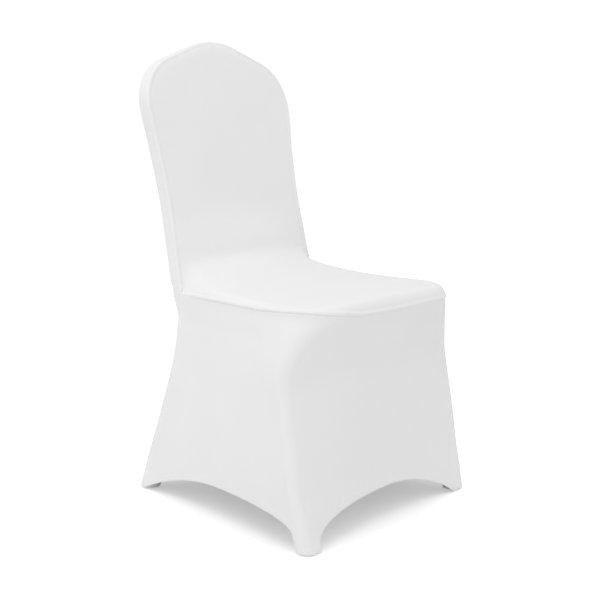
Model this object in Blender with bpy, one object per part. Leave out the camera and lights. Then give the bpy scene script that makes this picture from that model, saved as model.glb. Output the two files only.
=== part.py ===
"""A fitted stretch cover for a banquet chair: seven pieces of knitted cloth, 2 mm thick, as they hang when
pulled over the chair. Metres, x across the chair, y from its front to its back, z up from the floor. The sizes
are those of the cover's inside face, which lies on the chair."""

from math import atan2, cos, hypot, pi, radians, sin, sqrt, tan

import bmesh
import bpy
import numpy as np

# The whole cover. Places are measured from the middle of the feet, and BOX_MIDDLE_Y then centres the box.
# SHARPEST_FOLD is the least cosine between a face and its corner's normal that keeps the full thickness.
BOX_MIDDLE_Y = 0.0238
CLOTH = 0.0020
HALF_GAP = 0.0002
SHARPEST_FOLD = 0.7

# The crown: a round apex, two straight slopes and two round shoulders.
TOP_Z = 0.9190
APEX_RADIUS = 0.157
SLOPE = radians(20.4)
SHOULDER_RADIUS = 0.100
SHOULDER_X = 0.1962
APEX_STEPS = 8
SHOULDER_STEPS = 16

# The back: its depth, the drop of its padded front at the seam, and the rounding of its rear edge.
BACK_DEPTH = 0.0345
FACE_DROP = 0.004
REAR_ROUNDING = 0.012
REAR_BLEND = 0.028
BACK_SWELL = 0.005

# The seat: its height, the bend where the cloth turns up the back (its two ends and how far each of them
# pulls the curve straight on), and the seat's rounded edge.
SEAT_Z = 0.4330
BEND_TOP_Z = 0.515
BEND_END_Y = -0.080
BEND_TOP_PULL = 0.052
BEND_END_PULL = 0.258
BEND_SWELL = 0.024
BEND_SWELL_SPAN = 0.15
SEAT_SWELL = 0.0045
SWELL_BLEND = 0.10
SWELL_HALF_WIDTH = 0.19
EDGE_WIDTH = 0.022
BEND_EDGE_WIDTH = 0.024
BEND_EDGE_SPAN = 0.10
BEND_RAMP = 0.7
BEND_SMOOTHING = 12
BEND_SMOOTH_SPAN = 0.20
SEAT_FRONT_Y = -0.238

# The corded seam round the seat and the front of the back: distance from the seam, height.
CORD_ROWS = ((0.0025, 0.0017), (0.0058, 0.0016), (0.0098, 0.0))

# How far the taut faces between the legs draw in, less than 0 where they stand out: z, side, front, rear.
DRAW = np.array((
    (0.000, 0.0060, 0.0060, 0.0080),
    (0.100, 0.0060, 0.0010, 0.0020),
    (0.200, 0.0060, -0.0100, -0.0080),
    (0.300, 0.0060, -0.0240, -0.0140),
    (0.340, 0.0050, -0.0240, -0.0120),
    (0.370, 0.0030, -0.0180, -0.0080),
    (0.391, 0.0015, -0.0080, -0.0020),
    (0.419, 0.0000, 0.0000, 0.0000),
))

# The back by height: z, half_width, front_y.
BACK = np.array((
    (0.400, 0.1915, 0.143),
    (0.440, 0.1900, 0.153),
    (0.480, 0.1876, 0.163),
    (0.550, 0.1842, 0.180),
    (0.600, 0.1835, 0.191),
    (0.700, 0.1887, 0.213),
    (0.788, 0.1962, 0.231),
    (0.930, 0.1962, 0.264),
))

# The cover below the seat, as round corners joined by taut faces:
# z, front_x, front_y, front_radius, rear_x, rear_y, rear_radius.
LOWER = np.array((
    (0.000, 0.2195, -0.2260, 0.0205, 0.2115, 0.2360, 0.0205),
    (0.050, 0.2240, -0.2165, 0.0185, 0.2068, 0.2250, 0.0190),
    (0.100, 0.2270, -0.2055, 0.0175, 0.2021, 0.2090, 0.0185),
    (0.150, 0.2285, -0.1970, 0.0170, 0.1974, 0.1925, 0.0185),
    (0.200, 0.2275, -0.1885, 0.0170, 0.1928, 0.1770, 0.0185),
    (0.250, 0.2260, -0.1795, 0.0170, 0.1881, 0.1620, 0.0185),
    (0.300, 0.2240, -0.1715, 0.0180, 0.1834, 0.1507, 0.0185),
    (0.340, 0.2120, -0.1710, 0.0250, 0.1800, 0.1457, 0.0185),
    (0.370, 0.1910, -0.1700, 0.0380, 0.1775, 0.1450, 0.0175),
    (0.391, 0.1655, -0.1640, 0.0580, 0.1777, 0.1532, 0.0161),
    (0.419, 0.1325, -0.1530, 0.0850, 0.1782, 0.1668, 0.0133),
    (0.460, 0.1325, -0.1530, 0.0850, 0.1770, 0.1795, 0.0120),
))

# The seam between the rear and the skirt: z, run (its distance round the corner from the flat rear face).
JOIN_Z = 0.4155
REAR_SEAM = np.array((
    (0.000, 0.0070),
    (0.330, 0.0065),
    (0.365, 0.0130),
    (0.390, 0.0260),
    (JOIN_Z, 0.0340),
    (0.440, 0.0340),
))

# The seam round the seat, which rises to the right front corner and sags to the left one:
# way (from the join at the back to the middle of the front), right_z, left_z.
SEAT_SEAM = np.array((
    (0.00, JOIN_Z, JOIN_Z),
    (0.24, 0.4186, 0.4186),
    (0.42, 0.4198, 0.4160),
    (0.60, 0.4262, 0.4070),
    (0.74, 0.4184, 0.4092),
    (0.84, 0.4112, 0.4094),
    (1.00, 0.4086, 0.4086),
))

# The arched hems: top_z, half_span, steepness (small is steep), one row for each half of an arch.
FOOT_HEM_Z = 0.0024
HEMS = {
    "side_front": (0.0613, 0.2180, 0.15),
    "side_rear": (0.0613, 0.2300, 0.90),
    "front_right": (0.0655, 0.2065, 0.35),
    "front_left": (0.0655, 0.1970, 0.90),
    "rear": (0.0600, 0.1950, 0.50),
}

# The foot pockets: height, clearance inside the skirt, and the profile of the sole as radius inset, z.
POCKET_Z = 0.042
POCKET_CLEARANCE = 0.0016
POCKET_SIDES = 20
SOLE_EDGE = ((0.0036, 0.0), (0.0011, 0.0006), (0.0, 0.0026))
POCKETS = (
    ("foot_pocket_fr", -1, "front"),
    ("foot_pocket_fl", 1, "front"),
    ("foot_pocket_rr", -1, "rear"),
    ("foot_pocket_rl", 1, "rear"),
)

# How light the white knit of each piece is.
SHEET_SHADES = {"inner_panel": 0.84, "outer_panel": 0.82, "skirt": 0.82}
POCKET_SHADE = 0.80
KNIT_ROUGHNESS = 0.85
SHARP_ANGLE = radians(40)

# Rows and columns of the sheets. The side's columns are close together where the hem drops to a foot.
BACK_FRACTIONS = (0.0, 0.04, 0.09, 0.15, 0.22, 0.30, 0.39, 0.48, 0.57, 0.66, 0.75, 0.84, 0.92, 1.0)
ROWS_BELOW = (0.03, 0.07, 0.12, 0.17, 0.22, 0.28, 0.35, 0.45, 0.57, 0.70, 0.83, 0.93, 1.0)
BAND_FRACTIONS = (0.0, 0.28, 0.57, 0.80, 1.0)
CORNER_COLUMNS = 3
REAR_CORNER_COLUMNS = 2
REAR_CORNER_SPAN = 0.012
SIDE_FRACTIONS = (0.0, 0.07, 0.18, 0.35, 0.55, 0.75, 0.90, 0.965, 0.983, 1.0)
FRONT_FRACTIONS = (0.0, 0.06, 0.093, 0.20, 0.42, 0.70, 1.0)
RING_FRACTIONS = (0.4, 0.7, 1.0)
PROFILE_STEPS = 2000
LIFT_STEP = 0.004


def read(table, place):
    """Values of a table at a place in its first column, on a smooth curve that never overshoots its rows."""
    keys, values = table[:, 0], table[:, 1:]
    steps = np.diff(keys)[:, None]
    slopes = np.diff(values, axis=0) / steps
    tangents = np.zeros_like(values)
    tangents[0], tangents[-1] = slopes[0], slopes[-1]
    before, after = slopes[:-1], slopes[1:]
    same_way = before * after > 0
    safe_sum = np.where(same_way, before + after, 1.0)
    tangents[1:-1] = np.where(same_way, 2 * before * after / safe_sum, 0.0)
    place = min(max(place, keys[0]), keys[-1])
    row = min(int(np.searchsorted(keys, place, side="right")) - 1, len(keys) - 2)
    t = (place - keys[row]) / (keys[row + 1] - keys[row])
    start = (2 * t**3 - 3 * t**2 + 1) * values[row] + (t**3 - 2 * t**2 + t) * steps[row] * tangents[row]
    end = (3 * t**2 - 2 * t**3) * values[row + 1] + (t**3 - t**2) * steps[row] * tangents[row + 1]
    return start + end


def along(points, fractions):
    """Points at fractions of the length of a polyline."""
    points = np.asarray(points, dtype=float)
    run = np.concatenate(([0.0], np.cumsum(np.linalg.norm(np.diff(points, axis=0), axis=1))))
    targets = np.asarray(fractions) * run[-1]
    return np.column_stack([np.interp(targets, run, points[:, axis]) for axis in range(points.shape[1])])


def unit(vector):
    return vector / max(np.linalg.norm(vector), 1e-9)


# The cover below the seat

def section(z):
    """The half section at a height: its round corners' centres and radii, and the way its side faces."""
    front_x, front_y, front_r, rear_x, rear_y, rear_r = read(LOWER, z)
    front, rear = np.array((front_x, front_y)), np.array((rear_x, rear_y))
    forward = front - rear
    length = hypot(*forward)
    forward /= length
    outward = np.array((-forward[1], forward[0]))
    turn = (rear_r - front_r) / length
    facing = forward * turn + outward * sqrt(1 - turn**2)
    return {"front": front, "front_r": front_r, "rear": rear, "rear_r": rear_r, "facing": facing,
            "angle": atan2(facing[1], facing[0]), "side_length": length * sqrt(1 - turn**2)}


def round_rear(z, run):
    """A point at a run round the rear corner, from the flat rear face on to the side."""
    cut = section(z)
    arc = cut["rear_r"] * (pi / 2 - cut["angle"])
    if run < arc:
        angle = pi / 2 - run / cut["rear_r"]
        x, y = cut["rear"] + cut["rear_r"] * np.array((cos(angle), sin(angle)))
        return np.array((x, y, z))
    return on_side(z, (run - arc) / cut["side_length"])


def on_side(z, fraction):
    """A point on the side face, from the rear corner at 0 to the front corner at 1."""
    cut = section(z)
    start = cut["rear"] + cut["rear_r"] * cut["facing"]
    end = cut["front"] + cut["front_r"] * cut["facing"]
    depth = read(DRAW, z)[0] * 4 * fraction * (1 - fraction)
    x, y = start + (end - start) * fraction - cut["facing"] * depth
    return np.array((x, y, z))


def on_front(z, fraction):
    """A point on the front face, from the corner at 0 to the middle at 1."""
    cut = section(z)
    x = cut["front"][0] * (1 - fraction)
    depth = read(DRAW, z)[1] * fraction * (2 - fraction)
    return np.array((x, cut["front"][1] - cut["front_r"] + depth, z))


def on_front_corner(z, fraction):
    """A point on the round front corner, from the side face at 0 to the front face at 1."""
    cut = section(z)
    angle = cut["angle"] * (1 - fraction) - pi / 2 * fraction
    x, y = cut["front"] + cut["front_r"] * np.array((cos(angle), sin(angle)))
    return np.array((x, y, z))


def skirt_point(column, z):
    """A point of the half skirt: columns run from the rear seam, round the side, to the front's middle."""
    kind, value = column
    if kind == "front":
        return on_front(z, value)
    if kind == "front_corner":
        return on_front_corner(z, value)
    cut = section(z)
    seam = read(REAR_SEAM, z)[0]
    arc = cut["rear_r"] * (pi / 2 - cut["angle"])
    corner_end = max(arc, seam + REAR_CORNER_SPAN)
    if kind == "rear_corner":
        return round_rear(z, seam + (corner_end - seam) * value)
    begin = (corner_end - arc) / cut["side_length"]
    return on_side(z, begin + (1 - begin) * value)


def skirt_columns():
    columns = [("rear_corner", k / REAR_CORNER_COLUMNS) for k in range(REAR_CORNER_COLUMNS)]
    columns += [("side", fraction) for fraction in SIDE_FRACTIONS]
    columns += [("front_corner", k / (2 * CORNER_COLUMNS)) for k in range(1, 2 * CORNER_COLUMNS)]
    columns += [("front", fraction) for fraction in FRONT_FRACTIONS]
    return columns


COLUMNS = skirt_columns()
COLUMNS_WIDE = CORNER_COLUMNS + len(FRONT_FRACTIONS) - 1


def arch(name, distance):
    """Height of an arched hem at a distance from the middle of its arch."""
    top, half_span, steepness = HEMS[name]
    t = min(abs(distance) / half_span, 1.0)
    return FOOT_HEM_Z + (top - FOOT_HEM_Z) * (1 - t * t) ** steepness


def hem_z(column, left):
    kind, value = column
    low = skirt_point(column, FOOT_HEM_Z)
    if kind == "front":
        return arch("front_left" if left else "front_right", low[0])
    if kind == "side":
        return arch("side_rear" if low[1] > 0 else "side_front", low[1])
    return FOOT_HEM_Z


def seat_seam(left):
    """The half seam round the seat, from its join with the back's seam to the middle of the front."""
    level = SEAT_SEAM[-1, 1]
    rough = np.array([skirt_point(column, level) for column in COLUMNS])
    way = np.concatenate(([0.0], np.cumsum(np.linalg.norm(np.diff(rough, axis=0), axis=1))))
    heights = [read(SEAT_SEAM, place)[int(left)] for place in way / way[-1]]
    return np.array([skirt_point(column, z) for column, z in zip(COLUMNS, heights)])


def skirt_half(left):
    """Rows of the half skirt, from the seat's seam down to the hem."""
    top = seat_seam(left)
    rows = [top]
    hem = np.array([hem_z(column, left) for column in COLUMNS])
    for fraction in ROWS_BELOW:
        heights = top[:, 2] + (hem - top[:, 2]) * fraction
        rows.append(np.array([skirt_point(column, z) for column, z in zip(COLUMNS, heights)]))
    return np.array(rows)


# The back

def crown(fractions):
    """The half outline of the crown and of the back's side down to the join, seen from the front."""
    slope_z = TOP_Z + APEX_RADIUS * (1 / cos(SLOPE) - 1)
    shoulder_run = SHOULDER_RADIUS * tan((pi / 2 - SLOPE) / 2)
    shoulder_z = slope_z - SHOULDER_X * tan(SLOPE) - shoulder_run
    turns = np.linspace(0, SLOPE, APEX_STEPS + 1)
    points = [(APEX_RADIUS * sin(turn), TOP_Z - APEX_RADIUS * (1 - cos(turn))) for turn in turns]
    for angle in np.linspace(pi / 2 - SLOPE, 0, SHOULDER_STEPS + 1):
        x = SHOULDER_X - SHOULDER_RADIUS * (1 - cos(angle))
        points.append((x, shoulder_z + SHOULDER_RADIUS * sin(angle)))
    middle = APEX_STEPS + 1 + SHOULDER_STEPS // 2
    corner = np.array(points[:middle + 1])
    side = points[middle:]
    for z in np.linspace(shoulder_z, JOIN_Z, 40)[1:]:
        side.append((read(BACK, z)[0], z))
    wide, tall = fractions
    return along(corner, wide), along(side, tall)


def back_outline():
    """The half seam round the front of the back, from the top of the crown down to the join."""
    over, down = crown((np.linspace(0, 1, COLUMNS_WIDE + 1), BACK_FRACTIONS))
    flat = np.vstack((over, down[1:]))
    outline = np.array([(x, read(BACK, z)[1] + FACE_DROP, z) for x, z in flat])
    outline[-1] = seat_seam(False)[0]
    return outline


def outward_normals(flat):
    """Outward unit normals of a half outline given as x and a second coordinate, top first."""
    tangent = np.gradient(flat, axis=0)
    normals = np.column_stack((-tangent[:, 1], tangent[:, 0]))
    normals /= np.linalg.norm(normals, axis=1)[:, None]
    normals[0] = (0.0, 1.0)
    return normals


def patch(top, side, bottom):
    """A grid in the plane inside a top, a side and a bottom edge, with the middle line at x = 0."""
    wide, tall = len(top), len(side)
    share = (side[:, 1] - side[0, 1]) / (side[-1, 1] - side[0, 1])
    middle = np.column_stack((np.zeros(tall), top[0, 1] + (bottom[0, 1] - top[0, 1]) * share))
    across = np.linspace(0, 1, wide)[None, :, None]
    down = share[:, None, None]
    grid = (1 - down) * top[None] + down * bottom[None]
    grid = grid + (1 - across) * middle[:, None] + across * side[:, None]
    corners = ((1 - down) * (1 - across) * top[0] + (1 - down) * across * top[-1]
               + down * (1 - across) * bottom[0] + down * across * bottom[-1])
    return grid - corners


def rear_half():
    """Rows of the half rear face and, at each of its edge points, the band round the back's thickness."""
    outline = back_outline()
    flat = outline[:, (0, 2)]
    normals = outward_normals(flat)
    normals[-1] = (1.0, 0.0)
    inset = flat - normals * REAR_ROUNDING
    low = section(JOIN_Z)
    inset[-1] = (low["rear"][0], JOIN_Z)
    top, side = inset[:COLUMNS_WIDE + 1], inset[COLUMNS_WIDE:]
    across = np.linspace(0, 1, COLUMNS_WIDE + 1)
    bottom = np.column_stack((across * side[-1, 0], np.full(COLUMNS_WIDE + 1, JOIN_Z)))
    upper = patch(top, side, bottom)
    rows = [[(x, rear_y(z), z) for x, z in row] for row in upper]
    bands = [band_round_back(outline[k], normals[k]) for k in range(len(outline) - 1)]
    bands.append(band_below(JOIN_Z))
    for fraction in ROWS_BELOW:
        row = []
        for share in across:
            hem = arch("rear", share * section(FOOT_HEM_Z)["rear"][0])
            z = JOIN_Z + (hem - JOIN_Z) * fraction
            cut = section(z)
            draw = read(DRAW, z)[2] * (1 - share**2)
            row.append((share * cut["rear"][0], cut["rear"][1] + cut["rear_r"] - draw, z))
        rows.append(row)
        bands.append(band_below(row[-1][2]))
    return np.array(rows), np.array(bands)


def rear_y(z):
    """How far back the rear face lies, which runs smoothly into the section at the join."""
    low = section(JOIN_Z)
    start = low["rear"][1] + low["rear_r"]
    blend = smooth_step((z - JOIN_Z) / REAR_BLEND)
    return start + (read(BACK, z)[1] + BACK_DEPTH - start) * blend


def band_round_back(seam_point, normal):
    """From the rear face, round its edge and forward along the side, to the seam."""
    out = np.array((normal[0], 0.0, normal[1]))
    back = np.array((0.0, 1.0, 0.0))
    centre = seam_point - out * REAR_ROUNDING
    centre[1] = rear_y(centre[2]) - REAR_ROUNDING
    curve = [centre + REAR_ROUNDING * (back * cos(a) + out * sin(a)) for a in np.linspace(0, pi / 2, 9)]
    curve.append(np.array(seam_point))
    return along(curve, BAND_FRACTIONS)


def band_below(z):
    """From the rear face, round the corner, to the seam with the skirt."""
    run = read(REAR_SEAM, z)[0]
    curve = [round_rear(z, run * k / 16) for k in range(17)]
    return along(curve, BAND_FRACTIONS)


# The inner panel

def profile():
    """The middle line of the inner panel from the crown's top down the back and forward over the seat."""
    points = [np.array((read(BACK, z)[1], z)) for z in np.linspace(TOP_Z + 0.01, BEND_TOP_Z, 60)]
    start = points[-1]
    end = np.array((BEND_END_Y, SEAT_Z))
    one = start + unit(start - points[-2]) * BEND_TOP_PULL
    two = end + np.array((BEND_END_PULL, 0.0))
    for t in np.linspace(0, 1, 41)[1:]:
        before = (1 - t) ** 3 * start + 3 * t * (1 - t) ** 2 * one
        points.append(before + 3 * t**2 * (1 - t) * two + t**3 * end)
    points += [np.array((y, SEAT_Z)) for y in np.linspace(BEND_END_Y, SEAT_FRONT_Y - 0.01, 40)[1:]]
    return along(points, np.linspace(0, 1, PROFILE_STEPS))


PROFILE = profile()
PROFILE_RUN = np.concatenate(([0.0], np.cumsum(np.linalg.norm(np.diff(PROFILE, axis=0), axis=1))))
BEND_PLACE = np.array((read(BACK, SEAT_Z)[1], SEAT_Z))
BEND_RUN = PROFILE_RUN[int(np.argmin(np.linalg.norm(PROFILE - BEND_PLACE, axis=1)))]


def profile_place(point):
    """How far along the middle line a point lies."""
    place = np.asarray(point)[1:]
    near = int(np.argmin(np.linalg.norm(PROFILE - place, axis=1)))
    near = min(max(near, 1), len(PROFILE) - 2)
    line = PROFILE[near + 1] - PROFILE[near - 1]
    share = ((place - PROFILE[near]) @ line) / (line @ line)
    return PROFILE_RUN[near] + share * (PROFILE_RUN[near + 1] - PROFILE_RUN[near - 1])


def bump(place):
    """1 at 0, falling smoothly to 0 at -1 and 1."""
    return cos(pi * min(abs(place), 1.0) / 2) ** 2


def smooth_step(share):
    share = min(max(share, 0.0), 1.0)
    return share * share * (3 - 2 * share)


def lift(x, run):
    """The inner panel's surface point at x and a run along its middle line, with its padding's swell."""
    behind, place, ahead = [
        np.array([np.interp(run + step, PROFILE_RUN, PROFILE[:, axis]) for axis in (0, 1)])
        for step in (-LIFT_STEP, 0.0, LIFT_STEP)]
    way = unit(ahead - behind)
    facing = np.array((way[1], -way[0]))
    on_seat = smooth_step((run - BEND_RUN) / SWELL_BLEND)
    on_back = smooth_step((BEND_RUN - run) / SWELL_BLEND)
    swell = BACK_SWELL * on_back + SEAT_SWELL * on_seat
    swell += BEND_SWELL * bump((run - BEND_RUN) / BEND_SWELL_SPAN)
    swell *= max(1 - (x / SWELL_HALF_WIDTH) ** 2, 0.0)
    y, z = place + facing * swell
    return np.array((x, y, z))


def inner_half(left):
    """Rows of the half inner panel inside its edge, and the rings from its seam in to those rows."""
    outline = np.vstack((back_outline(), seat_seam(left)[1:]))
    flat = np.array([(point[0], -profile_place(point)) for point in outline])
    flat[:, 1] = smooth_at_bend(flat[:, 1])
    normals = outward_normals(flat)
    normals[-1] = (0.0, -1.0)
    widths = [EDGE_WIDTH + BEND_EDGE_WIDTH * bump((-run - BEND_RUN) / BEND_EDGE_SPAN) for run in flat[:, 1]]
    inset = flat - normals * np.array(widths)[:, None]
    top = inset[:COLUMNS_WIDE + 1]
    side = inset[COLUMNS_WIDE:len(inset) - COLUMNS_WIDE]
    bottom = inset[len(inset) - COLUMNS_WIDE - 1:][::-1]
    plane = patch(top, side, bottom)
    rows = np.array([[lift(x, -run) for x, run in row] for row in plane])
    edge = np.vstack((rows[0], rows[1:, -1], rows[-1, ::-1][1:]))
    rings = []
    for seam_point, (x, run), end in zip(outline, flat, edge):
        over = lift(x, -run)
        ramp = BEND_RAMP * bump((-run - BEND_RUN) / BEND_EDGE_SPAN)
        rings.append(edge_curve(seam_point, over * (1 - ramp) + (seam_point + end) / 2 * ramp, end))
    return rows, np.array(rings)


def smooth_at_bend(runs):
    """Runs along the edge, spread evenly where the seam turns its corner and its nearest points bunch up."""
    soft = np.array(runs)
    for _ in range(BEND_SMOOTHING):
        weight = np.array([bump((-run - BEND_RUN) / BEND_SMOOTH_SPAN) for run in soft[1:-1]])
        soft[1:-1] += weight * (soft[:-2] - 2 * soft[1:-1] + soft[2:]) / 4
    return soft


def edge_curve(seam_point, over, end):
    """The rounded edge from the seam up and in to the padded surface."""
    curve = []
    for t in np.linspace(0, 1, 25):
        curve.append((1 - t) ** 2 * seam_point + 2 * t * (1 - t) * over + t * t * end)
    length = np.linalg.norm(np.diff(np.array(curve), axis=0), axis=1).sum()
    shares = [0.0] + [distance / length for distance, _ in CORD_ROWS] + list(RING_FRACTIONS)
    return along(curve, shares)


# From half grids to whole sheets. The halves are made on the left, and the right one is mirrored.

MIRROR = np.array((-1.0, 1.0, 1.0))


class Cloth:
    """All the cover's surface points, each once, with the faces of each piece."""

    def __init__(self):
        self.points = []
        self.lookup = {}
        self.faces = {}
        self.raised = {}

    def add(self, point):
        key = tuple(np.round(np.asarray(point) * 1e5).astype(int))
        if key not in self.lookup:
            self.lookup[key] = len(self.points)
            self.points.append(np.array(point, dtype=float))
        return self.lookup[key]

    def strip(self, name, rows, closed=False):
        """Quads between rows of points, facing the way that the rows and columns turn."""
        indexes = [[self.add(point) for point in row] for row in rows]
        faces = self.faces.setdefault(name, [])
        for upper, lower in zip(indexes, indexes[1:]):
            count = len(upper)
            for k in range(count if closed else count - 1):
                n = (k + 1) % count
                loop = [upper[k], lower[k], lower[n], upper[n]]
                loop = [v for i, v in enumerate(loop) if v != loop[i - 1]]
                if len(loop) > 2:
                    faces.append(loop)
        return indexes

    def normals(self):
        points = np.array(self.points)
        total = np.zeros_like(points)
        for faces in self.faces.values():
            for face in faces:
                corners = points[face]
                area = np.zeros(3)
                for k in range(1, len(face) - 1):
                    area += np.cross(corners[k] - corners[0], corners[k + 1] - corners[0])
                facing = unit(area)
                for k, vertex in enumerate(face):
                    one = unit(corners[k - 1] - corners[k])
                    two = unit(corners[(k + 1) % len(face)] - corners[k])
                    total[vertex] += facing * np.arccos(np.clip(one @ two, -1, 1))
        return total / np.linalg.norm(total, axis=1)[:, None]


def build_surface():
    cloth = Cloth()
    skirt_left, skirt_right = skirt_half(True), skirt_half(False) * MIRROR
    cloth.strip("skirt", np.concatenate((skirt_right, skirt_left[:, ::-1][:, 1:]), axis=1))

    rows, bands = rear_half()
    cloth.strip("outer_panel", np.concatenate((rows[:, ::-1], rows[:, 1:] * MIRROR), axis=1))
    band = np.concatenate((bands[::-1] * MIRROR, bands[1:]))
    cloth.strip("outer_panel", np.swapaxes(band, 0, 1))

    rows_left, rings_left = inner_half(True)
    rows_right, rings_right = inner_half(False)
    cloth.strip("inner_panel", np.concatenate((rows_right[:, ::-1] * MIRROR, rows_left[:, 1:]), axis=1))
    rings = np.concatenate((rings_left, rings_right[::-1][1:-1] * MIRROR))
    loops = cloth.strip("inner_panel", np.swapaxes(rings, 0, 1), closed=True)
    for (_, height), loop in zip(CORD_ROWS, loops[1:]):
        for index in loop:
            cloth.raised[index] = height
    return cloth


def remove_objects():
    for item in list(bpy.data.objects):
        bpy.data.objects.remove(item, do_unlink=True)


def white_knit(name, shade):
    material = bpy.data.materials.new(name)
    material.use_nodes = True
    shader = material.node_tree.nodes["Principled BSDF"]
    shader.inputs["Base Color"].default_value = (shade, shade, shade, 1.0)
    shader.inputs["Roughness"].default_value = KNIT_ROUGHNESS
    shader.inputs["Metallic"].default_value = 0.0
    return material


def add_object(name, points, faces, shade):
    mesh = bpy.data.meshes.new(name)
    moved = [(x, y - BOX_MIDDLE_Y, z) for x, y, z in points]
    mesh.from_pydata(moved, [], faces)
    work = bmesh.new()
    work.from_mesh(mesh)
    bmesh.ops.recalc_face_normals(work, faces=work.faces)
    work.to_mesh(mesh)
    work.free()
    mesh.shade_smooth()
    mesh.set_sharp_from_angle(angle=SHARP_ANGLE)
    mesh.materials.append(white_knit(name + "_knit", shade))
    item = bpy.data.objects.new(name, mesh)
    bpy.context.scene.collection.objects.link(item)
    return item


def sheet(cloth, normals, name, shade):
    """The solid of one piece: its inside face, the same face a cloth's thickness outside, and its rims."""
    faces = cloth.faces[name]
    points = np.array(cloth.points)
    used = sorted({index for face in faces for index in face})
    place = {index: k for k, index in enumerate(used)}
    edges = {}
    for face in faces:
        for one, two in zip(face, face[1:] + face[:1]):
            edges[(one, two)] = face
    rim = [edge for edge in edges if (edge[1], edge[0]) not in edges]
    others = [rows for other, rows in cloth.faces.items() if other != name]
    shared = {index for rows in others for face in rows for index in face}
    pull = {}
    for one, two in rim:
        if one in shared and two in shared:
            centre = points[edges[(one, two)]].mean(axis=0)
            line = unit(points[two] - points[one])
            for index in (one, two):
                inward = centre - (points[one] + points[two]) / 2
                facing = normals[index]
                inward = inward - facing * (inward @ facing) - line * (inward @ line)
                pull.setdefault(index, []).append(unit(inward))
    outer, inner = [], []
    stretch = mitre(cloth.faces, points, normals)
    for index in used:
        point = points[index]
        if index in pull:
            point = point + unit(sum(pull[index])) * HALF_GAP
        height = CLOTH * stretch[index] + cloth.raised.get(index, 0.0)
        outer.append(point + normals[index] * height)
        inner.append(point)
    count = len(used)
    solid = [[place[index] for index in face] for face in faces]
    solid += [[place[index] + count for index in reversed(face)] for face in faces]
    for one, two in rim:
        corners = [place[two], place[one], place[one] + count, place[two] + count]
        if one < two:
            solid += [[corners[0], corners[1], corners[3]], corners[1:]]
        else:
            solid += [corners[:3], [corners[0], corners[2], corners[3]]]
    return add_object(name, outer + inner, solid, shade)


def mitre(pieces, points, normals):
    """How much further to go out at a fold, to keep the cloth's thickness, alike for all pieces there."""
    worst = {}
    for faces in pieces.values():
        for face in faces:
            corners = points[face]
            facing = unit(np.cross(corners[2] - corners[0], corners[-1] - corners[1]))
            for index in face:
                worst[index] = min(worst.get(index, 1.0), abs(facing @ normals[index]))
    return {index: 1.0 / max(value, SHARPEST_FOLD) for index, value in worst.items()}


def foot_pocket(name, side, corner):
    """A closed pocket in a corner of the hem: a sole and a wall that follows the skirt inside."""
    profile_rows = [(inset + POCKET_CLEARANCE, z) for inset, z in SOLE_EDGE]
    profile_rows += [(POCKET_CLEARANCE, z) for z in (POCKET_Z / 2, POCKET_Z)]
    profile_rows += [(POCKET_CLEARANCE + CLOTH, z) for z in (POCKET_Z, POCKET_Z / 2, CLOTH)]
    rings = []
    for inset, z in profile_rows:
        cut = section(z)
        x, y = cut[corner]
        rings.append((np.array((x * side, y, z)), cut[corner + "_r"] - inset))
    points = []
    for centre, radius in rings:
        for k in range(POCKET_SIDES):
            angle = 2 * pi * (k + 0.5) / POCKET_SIDES
            points.append(centre + radius * np.array((cos(angle), sin(angle), 0.0)))
    faces = [list(range(POCKET_SIDES))]
    for ring in range(len(rings) - 1):
        for k in range(POCKET_SIDES):
            n = (k + 1) % POCKET_SIDES
            base, above = ring * POCKET_SIDES, (ring + 1) * POCKET_SIDES
            faces.append([base + k, base + n, above + n, above + k])
    faces.append(list(range((len(rings) - 1) * POCKET_SIDES, len(rings) * POCKET_SIDES)))
    return add_object(name, points, faces, POCKET_SHADE)


def main():
    remove_objects()
    cloth = build_surface()
    normals = cloth.normals()
    for name, shade in SHEET_SHADES.items():
        sheet(cloth, normals, name, shade)
    for name, side, corner in POCKETS:
        foot_pocket(name, side, corner)


main()
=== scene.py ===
"""The fitted chair cover, finished: fine knitted sheets on the shape of the CAD pieces, with their corded
seams, hems, stitches and soft creases."""

from math import atan2, cos, hypot, pi, radians, sin, sqrt, tan

import bpy
import numpy as np
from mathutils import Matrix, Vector, noise
from mathutils.bvhtree import BVHTree


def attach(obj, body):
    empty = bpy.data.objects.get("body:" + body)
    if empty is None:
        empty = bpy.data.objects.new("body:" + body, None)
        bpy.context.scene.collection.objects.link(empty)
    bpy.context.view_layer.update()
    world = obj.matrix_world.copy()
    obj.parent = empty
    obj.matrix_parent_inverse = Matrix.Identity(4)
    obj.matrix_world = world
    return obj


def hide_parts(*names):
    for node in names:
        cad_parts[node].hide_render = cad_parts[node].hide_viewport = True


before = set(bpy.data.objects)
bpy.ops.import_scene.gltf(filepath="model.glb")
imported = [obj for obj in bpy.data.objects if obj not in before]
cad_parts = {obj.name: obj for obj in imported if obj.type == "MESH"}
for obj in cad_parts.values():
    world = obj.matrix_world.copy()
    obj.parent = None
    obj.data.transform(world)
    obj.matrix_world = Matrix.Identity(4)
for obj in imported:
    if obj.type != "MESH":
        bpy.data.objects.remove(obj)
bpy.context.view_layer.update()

# The cover's shape, as in the CAD pieces, with the same names. The sizes are those of its inside face.
# Steps and smoothings are finer here. BEND_RAMP is larger, to round the inner panel's edge more at the bend.
BOX_MIDDLE_Y = 0.0238
CLOTH = 0.0020
SHARPEST_FOLD = 0.7
TOP_Z = 0.9190
APEX_RADIUS = 0.157
SLOPE = radians(20.4)
SHOULDER_RADIUS = 0.100
SHOULDER_X = 0.1962
APEX_STEPS = 32
SHOULDER_STEPS = 64
BACK_DEPTH = 0.0345
FACE_DROP = 0.004
REAR_ROUNDING = 0.012
REAR_BLEND = 0.028
BACK_SWELL = 0.005
SEAT_Z = 0.4330
BEND_TOP_Z = 0.515
BEND_END_Y = -0.080
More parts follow.
